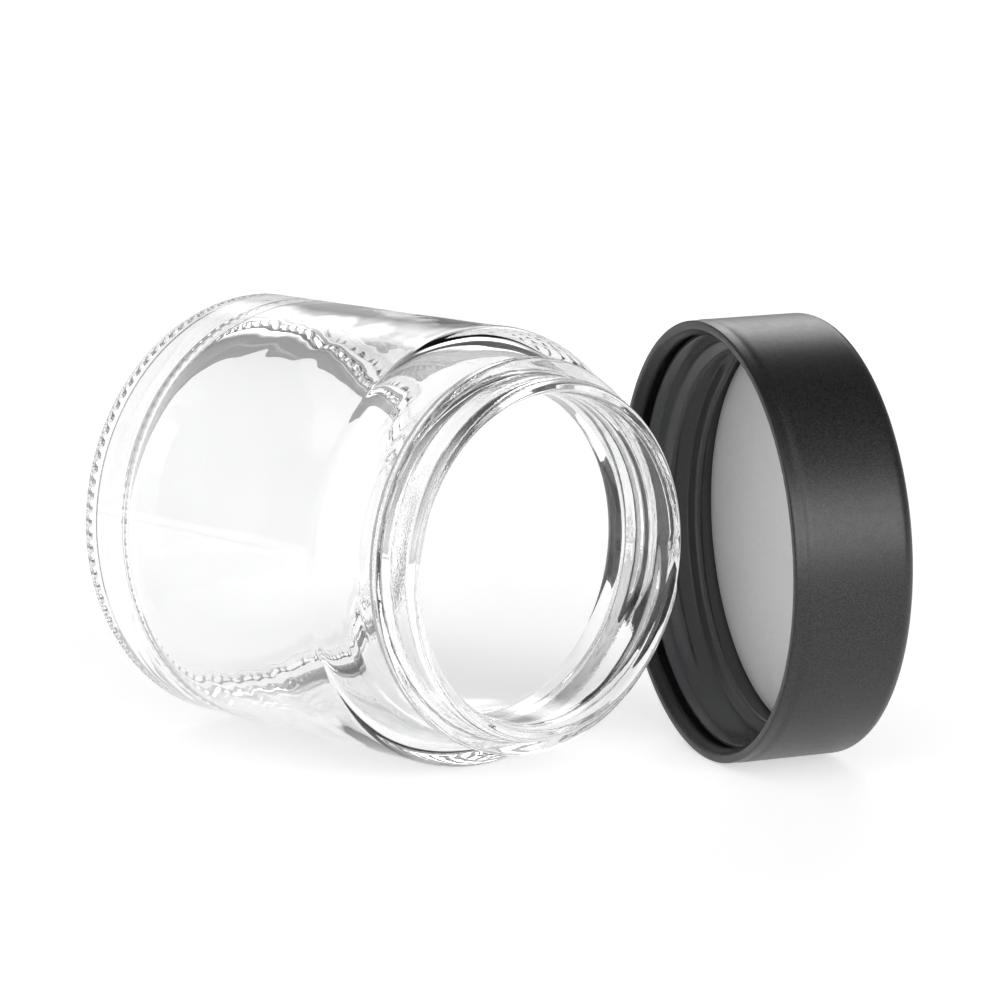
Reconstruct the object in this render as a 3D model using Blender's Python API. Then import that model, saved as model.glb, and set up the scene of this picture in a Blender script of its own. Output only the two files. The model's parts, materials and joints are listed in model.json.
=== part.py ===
"""Small glass specimen jar lying on its side, with its push-and-turn screw lid standing beside the mouth.

Four separate pieces: the one-piece glass jar, the threaded inner shell of the lid, the smooth outer shell
that covers it, and the foam liner disc that seals on the jar's lip. Metres, +Z up, the table is z = 0.

The jar's axis runs along +X, with the mouth at +X. The lid stands on its side wall with its open face
towards the jar. The origin is on the table, under the centre of the whole object's box.
"""
import math

import bmesh
import bpy
from mathutils import Matrix, Vector

MM = 0.001

# Driving dimensions, in millimetres. Jar stations are measured from its foot along its axis.
BODY_RADIUS = 30.0
JAR_HEIGHT = 63.5
WALL = 2.4
HEEL_RADIUS = 1.6
FOOT_RING_INNER = 27.2
PUSH_UP = 2.6
FLOOR_STATION = 4.2
INNER_HEEL_RADIUS = 6.0
SHOULDER_STATION = 51.8
SHOULDER_RADIUS = 3.0
SHOULDER_THICKNESS = 2.4
INNER_CORNER_RADIUS = 1.8
NECK_RADIUS = 24.4
NECK_FILLET = 1.2
BORE_RADIUS = 22.3
BORE_FLARE = 2.2
LIP_OUTER_ROUND = 0.95
LIP_INNER_ROUND = 0.75

# The screw thread, shared by the jar and the lid.
PITCH = 4.233
JAR_THREAD_RADIUS = 26.6
JAR_THREAD_BASE = 2.4
JAR_THREAD_CREST = 1.4
JAR_THREAD_STATION = 60.7
JAR_THREAD_TURNS = 1.1
JAR_THREAD_END = 1.3
LID_THREAD_RADIUS = 25.7
LID_THREAD_BASE = 2.1
LID_THREAD_CREST = 0.8
LID_THREAD_START = -56.7
LID_THREAD_DEPTH = 5.35
LID_THREAD_TURNS = 1.35
THREAD_FADE = 22.0

# The lid. Depths are measured from its open rim along its axis, towards its closed top.
LID_HEIGHT = 17.4
LID_EDGE_RADIUS = 2.0
OUTER_SKIN = 1.25
OUTER_TOP = 1.2
BEAD_RADIUS = 27.95
BEAD_DEPTH = 1.3
BEAD_BACK = 2.3
INNER_RIM_DEPTH = 2.8
INNER_SHELL_RADIUS = 28.35
INNER_WALL_RADIUS = 27.1
LEAD_IN_DEPTH = 3.9
LINER_FACE_DEPTH = 12.6
LINER_THICKNESS = 0.9
LINER_RADIUS = 26.8
INNER_CEILING_DEPTH = 13.75
INNER_TOP = 0.9

# The drive lugs between the two shells, which mesh when the outer shell is pressed down.
LUG_COUNT = 12
LUG_INNER_RADIUS = 19.0
LUG_OUTER_RADIUS = 24.0
LUG_HEIGHT = 0.65
LUG_ANGLE = 10.0

# Where the lid stands: its rim's centre from the jar's foot along and across the jar, and its heading.
LID_ALONG = 68.5
LID_ACROSS = 23.4
LID_HEADING = 69.3
# The lid swings round an upright line until it covers this much of the jar's lip.
LIP_OVERLAP = 4.0

SEGMENTS = 72
ARC_STEP = 18.0
HELIX_STEP = 6.0
SHARP_ANGLE = 35.0
EMBED = 0.4


def arc(station, radius, round_radius, start, end):
    """Points of an arc about (station, radius), from angle start to end, where 90 degrees is outwards."""
    steps = max(2, round(abs(end - start) / ARC_STEP))
    points = []
    for i in range(steps + 1):
        angle = math.radians(start + (end - start) * i / steps)
        points.append((station + round_radius * math.cos(angle), radius + round_radius * math.sin(angle)))
    return points


def lathe(name, profile):
    """A closed body turned about local Z from (station, radius) points that start and end on the axis."""
    bm = bmesh.new()
    verts = [bm.verts.new((radius * MM, 0.0, station * MM)) for station, radius in profile]
    edges = [bm.edges.new(pair) for pair in zip(verts, verts[1:])]
    bmesh.ops.spin(bm, geom=verts + edges, cent=(0, 0, 0), axis=(0, 0, 1),
                   angle=math.tau, steps=SEGMENTS, use_merge=True)
    bmesh.ops.remove_doubles(bm, verts=bm.verts, dist=0.00001)
    bmesh.ops.recalc_face_normals(bm, faces=bm.faces)
    return finish_mesh(bm, name)


def finish_mesh(bm, name):
    """Turns a bmesh into an object with smooth faces and crisp edges."""
    mesh = bpy.data.meshes.new(name)
    bm.to_mesh(mesh)
    bm.free()
    mesh.shade_smooth()
    mesh.set_sharp_from_angle(angle=math.radians(SHARP_ANGLE))
    piece = bpy.data.objects.new(name, mesh)
    bpy.context.scene.collection.objects.link(piece)
    return piece


def helix_ridge(name, root, crest, base_width, crest_width, station, start, turns):
    """A right-handed thread ridge from the root radius to the crest radius, fading out at both ends."""
    sweep = 360.0 * turns
    count = round(sweep / HELIX_STEP)
    outwards = 1.0 if crest > root else -1.0
    bm = bmesh.new()
    rings = []
    for i in range(count + 1):
        turned = sweep * i / count
        fade = min(1.0, 0.12 + min(turned, sweep - turned) / THREAD_FADE)
        angle = math.radians(start + turned)
        centre = station + PITCH * turned / 360.0
        peak = root + (crest - root) * fade
        foot_width = base_width + (base_width - crest_width) * EMBED / abs(peak - root) * fade
        section = ((root - EMBED * outwards, -foot_width / 2), (peak, -crest_width / 2),
                   (peak, crest_width / 2), (root - EMBED * outwards, foot_width / 2))
        ring = []
        for radius, offset in section:
            place = (radius * math.cos(angle) * MM, radius * math.sin(angle) * MM, (centre + offset) * MM)
            ring.append(bm.verts.new(place))
        rings.append(ring)
    for ring, following in zip(rings, rings[1:]):
        for j in range(len(ring)):
            k = (j + 1) % len(ring)
            bm.faces.new((ring[j], ring[k], following[k], following[j]))
    bm.faces.new(rings[0])
    bm.faces.new(reversed(rings[-1]))
    bmesh.ops.recalc_face_normals(bm, faces=bm.faces)
    return finish_mesh(bm, name)


def lug_ring(name, low, high, first_angle):
    """A ring of radial lugs between two stations, each an arc-sided block."""
    bm = bmesh.new()
    for i in range(LUG_COUNT):
        middle = first_angle + 360.0 * i / LUG_COUNT
        corners = []
        for radius in (LUG_INNER_RADIUS, LUG_OUTER_RADIUS):
            for side in (-0.5, 0.5):
                angle = math.radians(middle + side * LUG_ANGLE)
                corners.append((radius * math.cos(angle) * MM, radius * math.sin(angle) * MM))
        outline = [corners[0], corners[2], corners[3], corners[1]]
        face = bm.faces.new([bm.verts.new((x, y, low * MM)) for x, y in outline])
        top = bmesh.ops.extrude_face_region(bm, geom=[face])
        raised = [v for v in top["geom"] if isinstance(v, bmesh.types.BMVert)]
        bmesh.ops.translate(bm, verts=raised, vec=(0, 0, (high - low) * MM))
    bmesh.ops.recalc_face_normals(bm, faces=bm.faces)
    return finish_mesh(bm, name)


def join_to(piece, addition):
    """Unites a hidden body with a piece."""
    addition.parent = piece
    addition.hide_render = True
    addition.display_type = "WIRE"
    union = piece.modifiers.new(addition.name, "BOOLEAN")
    union.operation = "UNION"
    union.object = addition


def material(name, colour, roughness, alpha=1.0):
    """A Principled material with one colour and roughness."""
    made = bpy.data.materials.new(name)
    made.use_nodes = True
    shader = made.node_tree.nodes["Principled BSDF"]
    shader.inputs["Base Color"].default_value = (*colour, 1.0)
    shader.inputs["Roughness"].default_value = roughness
    shader.inputs["Metallic"].default_value = 0.0
    shader.inputs["Alpha"].default_value = alpha
    made.diffuse_color = (*colour, alpha)
    return made


def jar_profile():
    """The glass section, from the middle of the foot, up the outside, over the lip and down the inside."""
    inner_radius = BODY_RADIUS - WALL
    shoulder_underside = SHOULDER_STATION - SHOULDER_THICKNESS
    inner_corner = INNER_CORNER_RADIUS
    points = [(PUSH_UP, 0.0), (PUSH_UP, 12.0), (PUSH_UP * 0.8, 18.0), (PUSH_UP * 0.3, FOOT_RING_INNER - 1.4),
              (0.0, FOOT_RING_INNER)]
    points += arc(HEEL_RADIUS, BODY_RADIUS - HEEL_RADIUS, HEEL_RADIUS, 180, 90)
    points += arc(SHOULDER_STATION - SHOULDER_RADIUS, BODY_RADIUS - SHOULDER_RADIUS, SHOULDER_RADIUS, 90, 0)
    points += arc(SHOULDER_STATION + NECK_FILLET, NECK_RADIUS + NECK_FILLET, NECK_FILLET, 180, 270)
    points += arc(JAR_HEIGHT - LIP_OUTER_ROUND, NECK_RADIUS - LIP_OUTER_ROUND, LIP_OUTER_ROUND, 90, 0)
    points += arc(JAR_HEIGHT - LIP_INNER_ROUND, BORE_RADIUS + LIP_INNER_ROUND, LIP_INNER_ROUND, 0, -90)
    points += arc(shoulder_underside + BORE_FLARE, BORE_RADIUS + BORE_FLARE, BORE_FLARE, -90, -180)
    points += arc(shoulder_underside - inner_corner, inner_radius - inner_corner, inner_corner, 0, 90)
    points += arc(FLOOR_STATION + INNER_HEEL_RADIUS, inner_radius - INNER_HEEL_RADIUS, INNER_HEEL_RADIUS, 90, 180)
    points += [(FLOOR_STATION + 0.3, 12.0), (FLOOR_STATION + 0.4, 0.0)]
    return points


def outer_shell_profile():
    """The outer shell's section: a cup with a snap bead just inside its open rim."""
    inside = BODY_RADIUS - OUTER_SKIN
    ceiling = LID_HEIGHT - OUTER_TOP
    points = [(LID_HEIGHT, 0.0)]
    points += arc(LID_HEIGHT - LID_EDGE_RADIUS, BODY_RADIUS - LID_EDGE_RADIUS, LID_EDGE_RADIUS, 0, 90)
    points += arc(0.3, BODY_RADIUS - 0.3, 0.3, 90, 180)
    points += [(0.0, inside + 0.15), (0.25, inside - 0.05), (BEAD_DEPTH - 0.3, BEAD_RADIUS + 0.08),
               (BEAD_DEPTH, BEAD_RADIUS), (BEAD_DEPTH + 0.3, BEAD_RADIUS + 0.12), (BEAD_BACK, inside),
               (ceiling - 0.8, inside), (ceiling, inside - 0.8), (ceiling, 0.0)]
    return points


def inner_shell_profile():
    """The inner shell's section: a cup with a bevelled lead-in and a plain seat for the liner."""
    outside_top = INNER_CEILING_DEPTH + INNER_TOP
    points = [(outside_top, 0.0)]
    points += arc(outside_top - 1.0, INNER_SHELL_RADIUS - 1.0, 1.0, 0, 90)
    points += [(INNER_RIM_DEPTH + 0.25, INNER_SHELL_RADIUS), (INNER_RIM_DEPTH, INNER_SHELL_RADIUS - 0.2),
               (INNER_RIM_DEPTH, INNER_SHELL_RADIUS - 0.55), (LEAD_IN_DEPTH, INNER_WALL_RADIUS),
               (INNER_CEILING_DEPTH - 0.4, INNER_WALL_RADIUS),
               (INNER_CEILING_DEPTH, INNER_WALL_RADIUS - 0.4), (INNER_CEILING_DEPTH, 0.0)]
    return points


def liner_profile():
    """The liner's section: a flat disc with a slightly softened edge."""
    back = LINER_FACE_DEPTH + LINER_THICKNESS
    return [(back, 0.0), (back, LINER_RADIUS - 0.1), (back - 0.1, LINER_RADIUS),
            (LINER_FACE_DEPTH + 0.1, LINER_RADIUS), (LINER_FACE_DEPTH, LINER_RADIUS - 0.1),
            (LINER_FACE_DEPTH, 0.0)]


def object_offset():
    """The jar's foot from the origin, so that the origin is under the middle of the whole box."""
    heading = math.radians(LID_HEADING)
    edge_depth = LID_HEIGHT - LID_EDGE_RADIUS
    edge_radius = BODY_RADIUS - LID_EDGE_RADIUS
    far_along = LID_ALONG + edge_depth * math.cos(heading) + edge_radius * math.sin(heading) + LID_EDGE_RADIUS
    far_across = LID_ACROSS + edge_depth * math.sin(heading) + edge_radius * math.cos(heading) + LID_EDGE_RADIUS
    return Vector((-far_along / 2, -(far_across - BODY_RADIUS) / 2, BODY_RADIUS)) * MM


def swing_line(foot):
    """The upright line that the lid swings round to stand on the jar's axis in front of the mouth."""
    turn = Matrix.Rotation(math.radians(-LID_HEADING), 2)
    stands = Vector((LID_ALONG, LID_ACROSS))
    covers = Vector((JAR_HEIGHT - LIP_OVERLAP, 0.0))
    pole = (Matrix.Identity(2) - turn).inverted() @ (covers - turn @ stands)
    return foot + Vector((pole.x, pole.y, 0.0)) * MM


def axes(name, origin, x_axis, y_axis, z_axis, parent=None):
    """An empty with the given origin and directions."""
    empty = bpy.data.objects.new(name, None)
    empty.empty_display_size = 0.01
    bpy.context.scene.collection.objects.link(empty)
    rotation = Matrix((x_axis, y_axis, z_axis)).transposed().to_4x4()
    place = Matrix.Translation(origin) @ rotation
    if parent:
        empty.parent = parent
        empty.matrix_local = parent.matrix_world.inverted() @ place
    else:
        empty.matrix_world = place
    bpy.context.view_layer.update()
    return empty


def attach(piece, frame, look, place=None):
    """Hangs a piece on its joint's axis, at its place in the world, and gives it its material."""
    piece.parent = frame
    if place:
        piece.matrix_local = frame.matrix_world.inverted() @ place
    piece.data.materials.append(look)


def build_jar(jar_axis):
    """The one-piece glass jar with its raised thread."""
    jar = lathe("glass_jar", jar_profile())
    turned = 360.0 * JAR_THREAD_TURNS
    thread = helix_ridge("jar_thread", NECK_RADIUS, JAR_THREAD_RADIUS, JAR_THREAD_BASE, JAR_THREAD_CREST,
                         JAR_THREAD_STATION - PITCH * JAR_THREAD_TURNS, JAR_THREAD_END - turned,
                         JAR_THREAD_TURNS)
    join_to(jar, thread)
    attach(jar, jar_axis, material("clear_glass", (0.94, 0.96, 0.95), 0.02, 0.35))


def build_lid(swing_axis, turn_axis, press_axis):
    """The lid's three pieces, each on the axis that it moves about or along."""
    outer = lathe("outer_shell", outer_shell_profile())
    ceiling = LID_HEIGHT - OUTER_TOP
    join_to(outer, lug_ring("outer_lugs", ceiling - LUG_HEIGHT, ceiling + EMBED, 0.0))
    attach(outer, press_axis, material("matte_black_plastic", (0.035, 0.035, 0.037), 0.5))

    inner = lathe("inner_shell", inner_shell_profile())
    top = INNER_CEILING_DEPTH + INNER_TOP
    join_to(inner, lug_ring("inner_lugs", top - EMBED, top + LUG_HEIGHT, 180.0 / LUG_COUNT))
    join_to(inner, helix_ridge("lid_thread", INNER_WALL_RADIUS, LID_THREAD_RADIUS, LID_THREAD_BASE,
                               LID_THREAD_CREST, LID_THREAD_DEPTH, LID_THREAD_START, LID_THREAD_TURNS))
    attach(inner, turn_axis, material("dark_grey_plastic", (0.06, 0.06, 0.065), 0.35))

    liner = lathe("foam_liner", liner_profile())
    attach(liner, swing_axis, material("pale_foam", (0.72, 0.73, 0.73), 0.55), turn_axis.matrix_world)


def build():
    """Clears the scene and builds the jar on its side with the lid beside its mouth."""
    for old in list(bpy.data.objects):
        bpy.data.objects.remove(old, do_unlink=True)
    foot = object_offset()
    rim = foot + Vector((LID_ALONG, LID_ACROSS, 0.0)) * MM
    heading = math.radians(LID_HEADING)
    depth = Vector((math.cos(heading), math.sin(heading), 0.0))
    up = Vector((0.0, 0.0, 1.0))
    across = up.cross(depth)
    jar_axis = axes("jar_axis", foot, (0, 1, 0), (0, 0, 1), (1, 0, 0))
    swing_axis = axes("lid_swing_axis", swing_line(foot), (1, 0, 0), (0, 1, 0), (0, 0, 1), jar_axis)
    turn_axis = axes("lid_turn_axis", rim, across, up, depth, swing_axis)
    press_axis = axes("lid_press_axis", rim, across, up, depth, turn_axis)
    build_jar(jar_axis)
    build_lid(swing_axis, turn_axis, press_axis)


build()
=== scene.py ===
"""Looks of the specimen jar and its screw lid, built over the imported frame.

The turned pieces are sections of (station, radius) points in millimetres along their own axis: the jar's
runs from its foot to its mouth, the lid's from its rim to its top.
"""
import json
import math

import bpy
import numpy as np
from mathutils import Matrix, Vector, noise


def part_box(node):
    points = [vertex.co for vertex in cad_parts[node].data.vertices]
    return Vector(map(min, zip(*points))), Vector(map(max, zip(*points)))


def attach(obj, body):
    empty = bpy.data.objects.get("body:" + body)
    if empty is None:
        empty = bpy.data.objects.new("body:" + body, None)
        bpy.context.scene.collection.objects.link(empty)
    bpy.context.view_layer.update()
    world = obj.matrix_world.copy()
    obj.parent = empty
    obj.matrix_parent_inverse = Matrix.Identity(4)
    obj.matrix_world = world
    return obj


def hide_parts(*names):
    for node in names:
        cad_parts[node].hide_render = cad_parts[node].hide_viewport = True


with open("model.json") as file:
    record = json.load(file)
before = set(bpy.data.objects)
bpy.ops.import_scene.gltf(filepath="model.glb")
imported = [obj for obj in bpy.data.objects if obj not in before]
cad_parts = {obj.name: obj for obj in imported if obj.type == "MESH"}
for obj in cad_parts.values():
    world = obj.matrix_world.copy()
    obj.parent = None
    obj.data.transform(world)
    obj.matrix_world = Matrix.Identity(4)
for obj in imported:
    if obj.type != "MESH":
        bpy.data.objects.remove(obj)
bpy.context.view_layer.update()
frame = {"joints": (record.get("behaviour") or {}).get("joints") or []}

MM = 0.001
BODY_RADIUS = 30.0
JAR_SEGMENTS = 576
LID_SEGMENTS = 360

# Places, taken from the frame. The jar's axis runs along +X from its foot.
jar_low, jar_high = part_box("glass_jar")
FOOT = Vector((jar_low.x, (jar_low.y + jar_high.y) / 2, (jar_low.z + jar_high.z) / 2))
joints = {joint["name"]: joint for joint in frame["joints"]}
RIM = Vector(joints["lid_turn"]["pos_m"])
LID_AXIS = Vector(joints["lid_turn"]["axis"]).normalized()
UP = Vector((0.0, 0.0, 1.0))


def frame_matrix(origin, x_axis, y_axis, z_axis):
    """The placing matrix of a local frame."""
    return Matrix.Translation(origin) @ Matrix((x_axis, y_axis, z_axis)).transposed().to_4x4()


JAR_PLACE = frame_matrix(FOOT, Vector((0, 1, 0)), UP, Vector((1, 0, 0)))
LID_PLACE = frame_matrix(RIM, UP.cross(LID_AXIS), UP, LID_AXIS)


# ---------------------------------------------------------------- turning
def arc(station, radius, round_radius, start, end, step=7.5):
    """Points of an arc about (station, radius), in degrees; 90 degrees is outwards."""
    steps = max(3, round(abs(end - start) / step))
    points = []
    for i in range(steps + 1):
        angle = math.radians(start + (end - start) * i / steps)
        points.append((station + round_radius * math.cos(angle), radius + round_radius * math.sin(angle)))
    return points


def refine(points, spacing):
    """Splits the straight runs of a section so that no step is longer than the spacing."""
    out = [points[0]]
    for a, b in zip(points, points[1:]):
        parts = max(1, math.ceil(math.hypot(b[0] - a[0], b[1] - a[1]) / spacing))
        for i in range(1, parts + 1):
            out.append((a[0] + (b[0] - a[0]) * i / parts, a[1] + (b[1] - a[1]) * i / parts))
    return out


def smoothstep(low, high, value):
    """Runs smoothly from 0 at the low value to 1 at the high one."""
    t = np.clip((value - low) / (high - low), 0.0, 1.0)
    return t * t * (3.0 - 2.0 * t)


def eased_clip(value, ease):
    """Clips to 0..1 with rounded corners that reach the given distance to each side."""
    low = np.where(value < ease, np.maximum(value + ease, 0.0) ** 2 / (4.0 * ease), value)
    return np.where(value > 1.0 - ease, 1.0 - np.maximum(1.0 + ease - value, 0.0) ** 2 / (4.0 * ease), low)


def turned_faces(rows, segments, first_pole):
    """Quads between the rows of a turned piece and a fan of triangles at each of its two poles."""
    faces = []
    last = (rows - 1) * segments
    for i in range(rows - 1):
        base = i * segments
        after = base + segments
        for j in range(segments):
            k = (j + 1) % segments
            faces.append((base + j, base + k, after + k, after + j))
    for j in range(segments):
        k = (j + 1) % segments
        faces.append((first_pole, k, j))
        faces.append((first_pole + 1, last + j, last + k))
    return faces


def turned_piece(name, section, segments, shape=None):
    """A closed body turned from a section whose ends lie on the axis; shape may move the points."""
    inner = section[1:-1]
    angles = np.linspace(0.0, math.tau, segments, endpoint=False)
    station_grid, angle_grid = np.meshgrid(np.array([p[0] for p in inner]), angles, indexing="ij")
    radius_grid = np.repeat(np.array([p[1] for p in inner])[:, None], segments, axis=1)
    if shape:
        station_grid, radius_grid = shape(station_grid, radius_grid, angle_grid)
    grids = (radius_grid * np.cos(angle_grid), radius_grid * np.sin(angle_grid), station_grid)
    verts = (np.stack(grids, axis=-1).reshape(-1, 3) * MM).tolist()
    first_pole = len(verts)
    verts.append((0.0, 0.0, section[0][0] * MM))
    verts.append((0.0, 0.0, section[-1][0] * MM))
    mesh = bpy.data.meshes.new(name)
    mesh.from_pydata(verts, [], turned_faces(len(inner), segments, first_pole))
    mesh.validate()
    mesh.shade_smooth()
    piece = bpy.data.objects.new(name, mesh)
    bpy.context.scene.collection.objects.link(piece)
    return piece


# ---------------------------------------------------------------- screw ridges
PITCH = 4.233
THREAD_ROUNDING = 0.2
THREAD_FADE = math.radians(22.0)


def thread_height(angle_grid, station_grid, start_angle, start_station, direction, turns,
                  height, base, crest):
    """Height of a screw ridge over its root, which climbs direction * PITCH for each turn of angle."""
    total = math.tau * turns
    best = np.zeros_like(station_grid)
    for lap in range(int(math.ceil(turns)) + 1):
        turned = (angle_grid - start_angle) % math.tau + math.tau * lap
        centre = start_station + direction * PITCH * turned / math.tau
        rise = smoothstep(0.0, THREAD_FADE, np.minimum(turned, total - turned))
        flank = (base / 2 - np.abs(station_grid - centre)) / (base / 2 - crest / 2)
        best = np.maximum(best, height * rise * eased_clip(flank, THREAD_ROUNDING))
    return best


# ---------------------------------------------------------------- the glass jar
WALL = 2.4
HEEL_RADIUS = 1.6
FOOT_RING_INNER = 27.2
FOOT_RING_SLOPE = 1.4
PUSH_UP = 2.6
PUSH_UP_FLAT = 12.0
PUSH_UP_BEND = 18.0
FLOOR_STATION = 4.2
FLOOR_FLAT = 12.0
FLOOR_RISE = 0.3
FLOOR_CROWN = 0.4
INNER_HEEL_RADIUS = 6.0
SHOULDER_STATION = 51.8
SHOULDER_RADIUS = 3.0
SHOULDER_THICKNESS = 2.4
INNER_CORNER = 1.8
NECK_RADIUS = 24.4
NECK_FILLET = 1.2
BORE_RADIUS = 22.3
BORE_FLARE = 2.2
LIP_STATION = (jar_high.x - jar_low.x) / MM
LIP_OUTER_ROUND = 0.95
LIP_INNER_ROUND = 0.75

# How far past a surface a row may lie and still be counted with it.
ROW_SLACK = 0.2

# Distances between the mesh rows.
FOOT_STEP = 0.45
WALL_STEP = 2.4
SHOULDER_STEP = 0.5
THREAD_STEP = 0.13
BORE_STEP = 0.8
INSIDE_STEP = 1.2

JAR_THREAD_START = math.radians(1.3)
JAR_THREAD_STATION = LIP_STATION - 2.8
JAR_THREAD_TURNS = 1.1
JAR_THREAD_HEIGHT = 2.2
JAR_THREAD_BASE = 2.4
JAR_THREAD_CREST = 1.4

KNURLS = 96
KNURL_RADIUS = 27.2
KNURL_REACH = 1.4
KNURL_DEPTH = 0.22
KNURL_TROUGH = -0.4
BEARING_FACE = 0.3

SEAM_ANGLE = math.radians(175.0)
SEAM_HEIGHT = 0.045
SEAM_WIDTH = 0.32
SEAM_LOW = 0.8
SEAM_HIGH = SHOULDER_STATION - 0.1

# The uneven inside: its depth on the wall, what is added at the two corners, and the noise it follows.
WAVE_WALL = 0.05
WAVE_CORNER = 0.12
WAVE_CORNERS = [(8.0, 5.0), (46.0, 4.0)]
WAVE_SCALE = 0.05
WAVE_FINE = 0.35
WAVE_FINE_SCALE = 2.7
WAVE_FINE_SHIFT = Vector((5.0, 3.0, 1.0))
WAVE_AXIS_GAP = 3.0


def jar_section():
    """The glass section from the middle of the foot, up the outside, over the lip and down the inside."""
    inner_radius = BODY_RADIUS - WALL
    underside = SHOULDER_STATION - SHOULDER_THICKNESS
    heel = BODY_RADIUS - HEEL_RADIUS
    body_top = SHOULDER_STATION - SHOULDER_RADIUS
    inner_floor = FLOOR_STATION + INNER_HEEL_RADIUS
    foot = [(PUSH_UP, 0.0), (PUSH_UP, PUSH_UP_FLAT), (PUSH_UP * 0.8, PUSH_UP_BEND),
            (PUSH_UP * 0.3, FOOT_RING_INNER - FOOT_RING_SLOPE), (0.0, FOOT_RING_INNER), (0.0, heel)]
    points = refine(foot, FOOT_STEP)
    points += arc(HEEL_RADIUS, heel, HEEL_RADIUS, 180, 90)
    points += refine([(HEEL_RADIUS, BODY_RADIUS), (body_top, BODY_RADIUS)], WALL_STEP)[1:-1]
    points += arc(body_top, BODY_RADIUS - SHOULDER_RADIUS, SHOULDER_RADIUS, 90, 0)
    points += refine([points[-1], (SHOULDER_STATION, NECK_RADIUS + NECK_FILLET)], SHOULDER_STEP)[1:-1]
    points += arc(SHOULDER_STATION + NECK_FILLET, NECK_RADIUS + NECK_FILLET, NECK_FILLET, 180, 270)
    points += refine([points[-1], (LIP_STATION - LIP_OUTER_ROUND, NECK_RADIUS)], THREAD_STEP)[1:-1]
    points += arc(LIP_STATION - LIP_OUTER_ROUND, NECK_RADIUS - LIP_OUTER_ROUND, LIP_OUTER_ROUND, 90, 0)
    points += arc(LIP_STATION - LIP_INNER_ROUND, BORE_RADIUS + LIP_INNER_ROUND, LIP_INNER_ROUND, 0, -90)
    points += refine([points[-1], (underside + BORE_FLARE, BORE_RADIUS)], BORE_STEP)[1:-1]
    points += arc(underside + BORE_FLARE, BORE_RADIUS + BORE_FLARE, BORE_FLARE, -90, -180)
    points += arc(underside - INNER_CORNER, inner_radius - INNER_CORNER, INNER_CORNER, 0, 90)
    points += refine([points[-1], (inner_floor, inner_radius)], INSIDE_STEP)[1:-1]
    points += arc(inner_floor, inner_radius - INNER_HEEL_RADIUS, INNER_HEEL_RADIUS, 90, 180)
    inner_bottom = [points[-1], (FLOOR_STATION + FLOOR_RISE, FLOOR_FLAT), (FLOOR_STATION + FLOOR_CROWN, 0.0)]
    points += refine(inner_bottom, INSIDE_STEP)[1:]
    return points


def knurl_rise(radius_grid, angle_grid):
    """How far the bearing face is lifted between its knurls."""
    bump = np.clip(np.cos(angle_grid * KNURLS), KNURL_TROUGH, 1.0)
    ring = np.exp(-((radius_grid - KNURL_RADIUS) / KNURL_REACH) ** 4)
    return ring * KNURL_DEPTH * (1.0 - bump) / (1.0 - KNURL_TROUGH)


def seam_rise(angle_grid):
    """Height of the two mould seams, which run along opposite sides of the wall."""
    rise = np.zeros_like(angle_grid)
    for side in (SEAM_ANGLE, SEAM_ANGLE + math.pi):
        gap = np.abs((angle_grid - side + math.pi) % math.tau - math.pi) * BODY_RADIUS
        rise += SEAM_HEIGHT * np.exp(-(gap / SEAM_WIDTH) ** 2)
    return rise


def inside_waves(inside, station_grid, radius_grid, angle_grid):
    """The slow unevenness of the inner surface, strongest at the inner heel and under the shoulder."""
    waves = np.zeros_like(angle_grid)
    for i, j in zip(*(index.tolist() for index in np.nonzero(inside))):
        angle, radius = angle_grid[i, j], radius_grid[i, j]
        spot = Vector((math.cos(angle) * radius, math.sin(angle) * radius, station_grid[i, j])) * WAVE_SCALE
        fine = noise.noise(spot * WAVE_FINE_SCALE + WAVE_FINE_SHIFT)
        waves[i, j] = noise.noise(spot) + WAVE_FINE * fine
    corner = sum(np.exp(-((station_grid - middle) / reach) ** 2) for middle, reach in WAVE_CORNERS)
    return waves * (WAVE_WALL + WAVE_CORNER * corner)


def jar_shape(section):
    """Returns the function that adds the thread, knurls, seams and the uneven inside to the turned jar."""
    stations = np.array([p[0] for p in section[1:-1]])
    outer = (np.arange(len(stations)) < int(np.argmax(stations)))[:, None]

    def shape(station_grid, radius_grid, angle_grid):
        above_fillet = station_grid > SHOULDER_STATION + NECK_FILLET * 0.9
        neck = (radius_grid > NECK_RADIUS - ROW_SLACK) & above_fillet
        ridge = thread_height(-angle_grid, station_grid, -JAR_THREAD_START, JAR_THREAD_STATION, -1.0,
                              JAR_THREAD_TURNS, JAR_THREAD_HEIGHT, JAR_THREAD_BASE, JAR_THREAD_CREST)
        wall = (station_grid > SEAM_LOW) & (station_grid < SEAM_HIGH)
        below_shoulder = station_grid < SHOULDER_STATION - SHOULDER_THICKNESS - ROW_SLACK
        inside = ~outer & below_shoulder & (radius_grid > WAVE_AXIS_GAP)
        foot = outer & (station_grid < BEARING_FACE)
        radius = radius_grid + np.where(outer & neck, ridge, 0.0)
        radius += np.where(outer & wall, seam_rise(angle_grid), 0.0)
        radius += inside_waves(inside, station_grid, radius_grid, angle_grid)
        station = station_grid + np.where(foot, knurl_rise(radius_grid, angle_grid), 0.0)
        return station, radius

    return shape


# ---------------------------------------------------------------- the lid
LID_HEIGHT = 17.4
LID_EDGE_RADIUS = 2.0
OUTER_SKIN = 1.25
OUTER_TOP = 1.2
OUTER_CEILING_ROUND = 0.8
BEAD_RADIUS = 27.95
BEAD_DEPTH = 1.3
BEAD_BACK = 2.3
RIM_BAND = 1.9
RIM_BAND_SLOPE = 0.15
RIM_STEP = 0.06
RIM_ROUND = 0.25
NICK_EDGE = 0.6
NICK_REACH = 0.3
NICK_DEPTH = 0.3
NICK_LEVEL = 0.32
NICK_SCALE = 34.0
NICK_LAYER = 2.0

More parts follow.
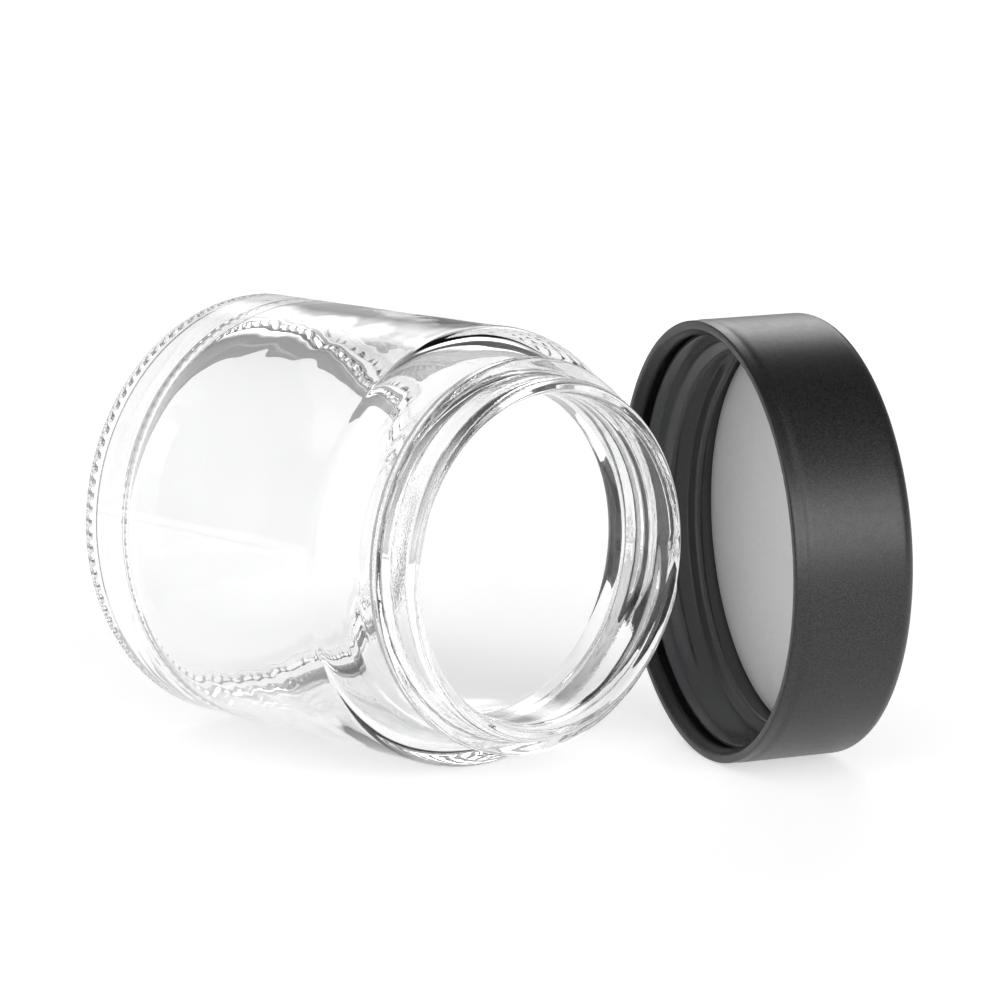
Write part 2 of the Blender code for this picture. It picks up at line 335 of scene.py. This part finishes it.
INNER_SHELL_RADIUS = 28.35
INNER_WALL_RADIUS = 27.1
INNER_RIM_DEPTH = 2.8
INNER_RIM_ROUND = 0.2
LEAD_IN_DEPTH = 3.9
LEAD_IN_ROUND = 0.15
INNER_CEILING_DEPTH = 13.75
INNER_CEILING_ROUND = 0.4
INNER_TOP = 0.9
INNER_TOP_ROUND = 1.0
LID_THREAD_START = math.radians(-56.7)
LID_THREAD_STATION = 5.35
LID_THREAD_TURNS = 1.35
LID_THREAD_HEIGHT = 1.4
LID_THREAD_BASE = 2.1
LID_THREAD_CREST = 0.7
LID_THREAD_END_GAP = 0.3
LID_WALL_SLACK = 0.05

LINER_FACE_DEPTH = 12.6
LINER_THICKNESS = 0.9
LINER_RADIUS = 26.8
LINER_ROUND = 0.2

# Distances between the mesh rows.
TOP_STEP = 4.0
SKIN_STEP = 1.0
RIM_ROW_STEP = 0.5
SHELL_STEP = 2.0
LINER_STEP = 1.5


def outer_section():
    """The outer shell from the middle of its top, down the wall, round the rim and up the inside."""
    inside = BODY_RADIUS - OUTER_SKIN
    ceiling = LID_HEIGHT - OUTER_TOP
    edge = LID_HEIGHT - LID_EDGE_RADIUS
    face = BODY_RADIUS - RIM_STEP
    corner = inside - OUTER_CEILING_ROUND
    corner_station = ceiling - OUTER_CEILING_ROUND
    points = refine([(LID_HEIGHT, 0.0), (LID_HEIGHT, BODY_RADIUS - LID_EDGE_RADIUS)], TOP_STEP)[:-1]
    points += arc(edge, BODY_RADIUS - LID_EDGE_RADIUS, LID_EDGE_RADIUS, 0, 90)
    points += refine([(edge, BODY_RADIUS), (RIM_BAND, BODY_RADIUS)], SKIN_STEP)[1:]
    points += refine([(RIM_BAND - RIM_BAND_SLOPE, face), (RIM_ROUND, face)], RIM_ROW_STEP)[:-1]
    points += arc(RIM_ROUND, face - RIM_ROUND, RIM_ROUND, 90, 180, 15)
    # The rim's inner edge and the snap bead behind it.
    points += [(0.0, inside + 0.45), (0.03, inside + 0.2), (0.15, inside + 0.02), (0.4, inside - 0.14),
               (0.8, inside - 0.46), (BEAD_DEPTH - 0.25, BEAD_RADIUS + 0.05), (BEAD_DEPTH, BEAD_RADIUS),
               (BEAD_DEPTH + 0.25, BEAD_RADIUS + 0.06), (BEAD_DEPTH + 0.6, BEAD_RADIUS + 0.4),
               (BEAD_BACK - 0.1, inside - 0.06), (BEAD_BACK + 0.2, inside)]
    points += refine([points[-1], (corner_station, inside)], SHELL_STEP)[1:]
    points += arc(corner_station, corner, OUTER_CEILING_ROUND, 90, 0, 15)[1:]
    points += refine([(ceiling, corner), (ceiling, 0.0)], TOP_STEP)[1:]
    return points


def outer_shape(station_grid, radius_grid, angle_grid):
    """Leaves small nicks along the inner edge of the moulded rim."""
    edge = (station_grid < NICK_EDGE) & (radius_grid < BODY_RADIUS - OUTER_SKIN + NICK_REACH)
    for i, j in zip(*(index.tolist() for index in np.nonzero(edge))):
        angle = angle_grid[i, j]
        spot = Vector((math.cos(angle) * NICK_SCALE, math.sin(angle) * NICK_SCALE, NICK_LAYER))
        radius_grid[i, j] += NICK_DEPTH * max(0.0, noise.noise(spot) - NICK_LEVEL)
    return station_grid, radius_grid


def inner_section():
    """The threaded shell from the middle of its top, down the outside, round its rim and up the inside."""
    outside_top = INNER_CEILING_DEPTH + INNER_TOP
    top_edge = outside_top - INNER_TOP_ROUND
    rim_edge = INNER_RIM_DEPTH + INNER_RIM_ROUND
    shell = INNER_SHELL_RADIUS
    ceiling_edge = INNER_CEILING_DEPTH - INNER_CEILING_ROUND
    corner = INNER_WALL_RADIUS - INNER_CEILING_ROUND
    points = refine([(outside_top, 0.0), (outside_top, shell - INNER_TOP_ROUND)], TOP_STEP)[:-1]
    points += arc(top_edge, shell - INNER_TOP_ROUND, INNER_TOP_ROUND, 0, 90, 15)
    points += refine([(top_edge, shell), (rim_edge, shell)], SHELL_STEP)[1:]
    points += arc(rim_edge, shell - INNER_RIM_ROUND, INNER_RIM_ROUND, 90, 180, 22)[1:]
    points += arc(INNER_RIM_DEPTH + LEAD_IN_ROUND, shell - 0.5, LEAD_IN_ROUND, 180, 225, 15)
    points += [(LEAD_IN_DEPTH - 0.1, INNER_WALL_RADIUS + 0.08), (LEAD_IN_DEPTH + 0.05, INNER_WALL_RADIUS)]
    points += refine([points[-1], (ceiling_edge, INNER_WALL_RADIUS)], THREAD_STEP)[1:]
    points += arc(ceiling_edge, corner, INNER_CEILING_ROUND, 90, 0, 22)[1:]
    points += refine([(INNER_CEILING_DEPTH, corner), (INNER_CEILING_DEPTH, 0.0)], TOP_STEP)[1:]
    return points


def inner_shape(station_grid, radius_grid, angle_grid):
    """Adds the lid's screw ridge to the inner wall."""
    wall = (station_grid > LEAD_IN_DEPTH) & (station_grid < INNER_CEILING_DEPTH - LID_THREAD_END_GAP)
    wall &= np.abs(radius_grid - INNER_WALL_RADIUS) < LID_WALL_SLACK
    ridge = thread_height(angle_grid, station_grid, LID_THREAD_START, LID_THREAD_STATION, 1.0,
                          LID_THREAD_TURNS, LID_THREAD_HEIGHT, LID_THREAD_BASE, LID_THREAD_CREST)
    return station_grid, radius_grid - np.where(wall, ridge, 0.0)


def liner_section():
    """The liner disc from the middle of its back to the middle of its face."""
    back = LINER_FACE_DEPTH + LINER_THICKNESS
    edge = LINER_RADIUS - LINER_ROUND
    points = refine([(back, 0.0), (back, edge)], TOP_STEP)[:-1]
    points += arc(back - LINER_ROUND, edge, LINER_ROUND, 0, 90, 22)
    points += arc(LINER_FACE_DEPTH + LINER_ROUND, edge, LINER_ROUND, 90, 180, 22)
    points += refine([(LINER_FACE_DEPTH, edge), (LINER_FACE_DEPTH, 0.0)], LINER_STEP)[1:]
    return points


# ---------------------------------------------------------------- materials
class Nodes:
    """A small helper for building a material's node tree."""

    def __init__(self, name):
        self.material = bpy.data.materials.new(name)
        self.material.use_nodes = True
        self.tree = self.material.node_tree
        self.shader = self.tree.nodes["Principled BSDF"]

    def add(self, kind):
        return self.tree.nodes.new(kind)

    def link(self, source, target):
        self.tree.links.new(source, target)

    def place(self):
        """The piece's own coordinates, which move with it."""
        return self.add("ShaderNodeTexCoord").outputs["Object"]

    def noise(self, scale, detail=2.0, roughness=0.5):
        node = self.add("ShaderNodeTexNoise")
        node.inputs["Scale"].default_value = scale
        node.inputs["Detail"].default_value = detail
        node.inputs["Roughness"].default_value = roughness
        self.link(self.place(), node.inputs["Vector"])
        return node.outputs["Fac"]

    def ramp(self, source, low, dark, high, light):
        """Runs from the dark colour at the low value to the light one at the high value."""
        node = self.add("ShaderNodeValToRGB")
        for element, position, colour in zip(node.color_ramp.elements, (low, high), (dark, light)):
            element.position = position
            element.color = (*colour, 1.0)
        self.link(source, node.inputs["Fac"])
        return node.outputs["Color"]

    def span(self, source, low, high, to_low, to_high):
        node = self.add("ShaderNodeMapRange")
        node.inputs["From Min"].default_value = low
        node.inputs["From Max"].default_value = high
        node.inputs["To Min"].default_value = to_low
        node.inputs["To Max"].default_value = to_high
        self.link(source, node.inputs["Value"])
        return node.outputs["Result"]

    def product(self, a, b):
        node = self.add("ShaderNodeMath")
        node.operation = "MULTIPLY"
        self.link(a, node.inputs[0])
        self.link(b, node.inputs[1])
        return node.outputs["Value"]

    def bump(self, height, distance, after=None):
        node = self.add("ShaderNodeBump")
        node.inputs["Strength"].default_value = 1.0
        node.inputs["Distance"].default_value = distance
        self.link(height, node.inputs["Height"])
        if after is not None:
            self.link(after, node.inputs["Normal"])
        return node.outputs["Normal"]


# The fine speckle of the pressed finish comes in between these two stations.
SPECKLE_START = 53.0
SPECKLE_FULL = 56.0


def glass_material():
    """Clear glass, slowly uneven all over and finely speckled on the finish."""
    made = Nodes("jar_glass")
    shader = made.shader
    shader.inputs["Transmission Weight"].default_value = 1.0
    shader.inputs["IOR"].default_value = 1.5
    shader.inputs["Roughness"].default_value = 0.0
    tint = made.ramp(made.noise(35.0, 1.0), 0.3, (0.975, 0.977, 0.977), 0.7, (0.985, 0.987, 0.987))
    made.link(tint, shader.inputs["Base Color"])
    slow = made.bump(made.noise(120.0, 1.0), 0.00006)
    split = made.add("ShaderNodeSeparateXYZ")
    made.link(made.place(), split.inputs["Vector"])
    finish = made.span(split.outputs["Z"], SPECKLE_START * MM, SPECKLE_FULL * MM, 0.0, 1.0)
    speckle = made.product(made.noise(2600.0, 1.0), finish)
    made.link(made.bump(speckle, 0.000008, slow), shader.inputs["Normal"])
    return made.material


def plastic_material(name, dark, light, rough_low, rough_high, grain):
    """Moulded plastic with a fine grain in its colour and its height, and a slower one in its gloss."""
    made = Nodes(name)
    fine = made.noise(4200.0, 2.0, 0.6)
    gloss = made.noise(900.0, 3.0)
    made.link(made.ramp(fine, 0.35, dark, 0.65, light), made.shader.inputs["Base Color"])
    made.link(made.span(gloss, 0.3, 0.7, rough_low, rough_high), made.shader.inputs["Roughness"])
    made.link(made.bump(fine, grain), made.shader.inputs["Normal"])
    return made.material


def foam_material():
    """The liner's pale closed foam."""
    made = Nodes("liner_foam")
    fine = made.noise(2500.0, 3.0, 0.6)
    colour = made.ramp(fine, 0.3, (0.86, 0.86, 0.855), 0.7, (0.92, 0.92, 0.915))
    made.link(colour, made.shader.inputs["Base Color"])
    made.link(made.span(made.noise(300.0, 2.0), 0.3, 0.7, 0.38, 0.5), made.shader.inputs["Roughness"])
    made.link(made.bump(fine, 0.000004), made.shader.inputs["Normal"])
    return made.material


def dress(piece, place, look, body, node):
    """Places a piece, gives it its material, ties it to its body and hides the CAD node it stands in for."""
    piece.matrix_world = place
    piece.data.materials.append(look)
    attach(piece, body)
    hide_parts(node)


glass_section = jar_section()
dress(turned_piece("jar_glass_body", glass_section, JAR_SEGMENTS, jar_shape(glass_section)), JAR_PLACE,
      glass_material(), "jar", "glass_jar")
dress(turned_piece("lid_outer_skin", outer_section(), LID_SEGMENTS, outer_shape), LID_PLACE,
      plastic_material("matte_black", (0.001, 0.001, 0.001), (0.022, 0.022, 0.0225), 0.33, 0.38, 0.000016),
      "overcap", "outer_shell")
dress(turned_piece("lid_inner_cup", inner_section(), LID_SEGMENTS, inner_shape), LID_PLACE,
      plastic_material("satin_grey", (0.062, 0.063, 0.066), (0.072, 0.073, 0.077), 0.2, 0.26, 0.000002),
      "threaded_cap", "inner_shell")
dress(turned_piece("lid_liner_disc", liner_section(), LID_SEGMENTS), LID_PLACE, foam_material(),
      "liner", "foam_liner")


# ---------------------------------------------------------------- the studio
FLOOR_REACH = 4.0
FLOOR_GLOW = 0.55
# The white sweep round the table fades out between two elevations, the haze above it down to the ceiling.
SWEEP_LEVEL = 0.3
SWEEP_FADE = (6.0, 30.0)
HAZE_LEVEL = 0.12
CEILING_LEVEL = 0.08
HAZE_FADE = (35.0, 62.0)
# Soft boxes: heading in degrees from +Y towards +X, elevation, half-angle of the core and of the edge, level.
SOFT_BOXES = [
    (131.0, 28.0, 15.0, 55.0, 1.25),
    (91.0, 10.0, 5.0, 28.0, 4.20),
    (-139.0, 28.0, 15.0, 50.0, 0.20),
    (-94.0, 18.0, 10.0, 34.0, 0.25),
    (-43.0, 31.0, 6.0, 19.0, 3.40),
]


def floor():
    """The pale table top, which glows a little so that it stays white under the soft light."""
    mesh = bpy.data.meshes.new("floor")
    corners = [(x * FLOOR_REACH, y * FLOOR_REACH, 0.0) for x, y in ((-1, -1), (1, -1), (1, 1), (-1, 1))]
    mesh.from_pydata(corners, [], [(0, 1, 2, 3)])
    piece = bpy.data.objects.new("floor", mesh)
    bpy.context.scene.collection.objects.link(piece)
    made = Nodes("floor_paper")
    paper = made.ramp(made.noise(400.0, 3.0), 0.3, (0.86, 0.86, 0.86), 0.7, (0.88, 0.88, 0.88))
    made.link(paper, made.shader.inputs["Base Color"])
    made.shader.inputs["Roughness"].default_value = 0.9
    made.shader.inputs["Emission Color"].default_value = (1.0, 1.0, 1.0, 1.0)
    made.shader.inputs["Emission Strength"].default_value = FLOOR_GLOW
    mesh.materials.append(made.material)


def studio():
    """A white sweep round the table, a faint haze above it and a few soft boxes, all in the world's light."""
    world = bpy.data.worlds.new("studio")
    bpy.context.scene.world = world
    world.use_nodes = True
    tree = world.node_tree
    background = tree.nodes["Background"]
    background.inputs["Color"].default_value = (1.0, 1.0, 1.0, 1.0)
    direction = tree.nodes.new("ShaderNodeTexCoord").outputs["Generated"]

    def soft_step(value, low, high, to_low, to_high):
        step = tree.nodes.new("ShaderNodeMapRange")
        step.interpolation_type = "SMOOTHSTEP"
        step.inputs["From Min"].default_value = low
        step.inputs["From Max"].default_value = high
        step.inputs["To Min"].default_value = to_low
        step.inputs["To Max"].default_value = to_high
        tree.links.new(value, step.inputs["Value"])
        return step.outputs["Result"]

    def towards(axis):
        dot = tree.nodes.new("ShaderNodeVectorMath")
        dot.operation = "DOT_PRODUCT"
        tree.links.new(direction, dot.inputs[0])
        dot.inputs[1].default_value = axis
        return dot.outputs["Value"]

    def by_elevation(fade, to_low, to_high):
        low, high = (math.sin(math.radians(elevation)) for elevation in fade)
        return soft_step(towards(UP), low, high, to_low, to_high)

    def soft_box(heading, elevation, core, edge, level):
        flat = math.cos(math.radians(elevation))
        axis = (math.sin(math.radians(heading)) * flat, math.cos(math.radians(heading)) * flat,
                math.sin(math.radians(elevation)))
        outside, inside = (math.cos(math.radians(angle)) for angle in (edge, core))
        return soft_step(towards(axis), outside, inside, 0.0, level)

    total = by_elevation(SWEEP_FADE, SWEEP_LEVEL, 0.0)
    haze = by_elevation(HAZE_FADE, HAZE_LEVEL, CEILING_LEVEL)
    for part in [haze] + [soft_box(*box) for box in SOFT_BOXES]:
        add = tree.nodes.new("ShaderNodeMath")
        tree.links.new(total, add.inputs[0])
        tree.links.new(part, add.inputs[1])
        total = add.outputs["Value"]
    tree.links.new(total, background.inputs["Strength"])


# The camera: where it stands round the jar, what it looks at and from how far, in body radii, and its lens.
CAMERA_AZIMUTH = math.radians(48.61)
CAMERA_ELEVATION = 0.1849
CAMERA_ROLL = -0.0161
CAMERA_TARGET = Vector((1.3705, 0.3525, 0.0))
CAMERA_DISTANCE = 21.146
CAMERA_SENSOR = 36.0
CAMERA_LENS = 166.24
CAMERA_SHIFT = (0.002, 0.0292)
CAMERA_CLIP = (0.05, 50.0)

GLASS_BOUNCES = 40
GLOSS_BOUNCES = 16


def camera():
    """A long lens a little above the table, looking at the jar's mouth from in front and to one side."""
    target = FOOT + CAMERA_TARGET * BODY_RADIUS * MM
    flat = math.cos(CAMERA_ELEVATION)
    back = Vector((math.sin(CAMERA_AZIMUTH) * flat, -math.cos(CAMERA_AZIMUTH) * flat,
                   math.sin(CAMERA_ELEVATION)))
    data = bpy.data.cameras.new("camera")
    data.sensor_width = CAMERA_SENSOR
    data.lens = CAMERA_LENS
    data.shift_x, data.shift_y = CAMERA_SHIFT
    data.clip_start, data.clip_end = CAMERA_CLIP
    lens = bpy.data.objects.new("camera", data)
    bpy.context.scene.collection.objects.link(lens)
    lens.location = target + back * CAMERA_DISTANCE * BODY_RADIUS * MM
    turn = (-back).to_track_quat("-Z", "Y").to_matrix() @ Matrix.Rotation(CAMERA_ROLL, 3, "Z")
    lens.rotation_euler = turn.to_euler()
    bpy.context.scene.camera = lens


def light_paths():
    """Lets light pass through the glass as often as it needs to, because a shorter path ends in black."""
    cycles = bpy.context.scene.cycles
    cycles.use_denoising = True
    cycles.max_bounces = GLASS_BOUNCES
    cycles.transmission_bounces = GLASS_BOUNCES
    cycles.glossy_bounces = GLOSS_BOUNCES


floor()
studio()
camera()
light_paths()
bpy.context.scene.view_settings.view_transform = "Standard"
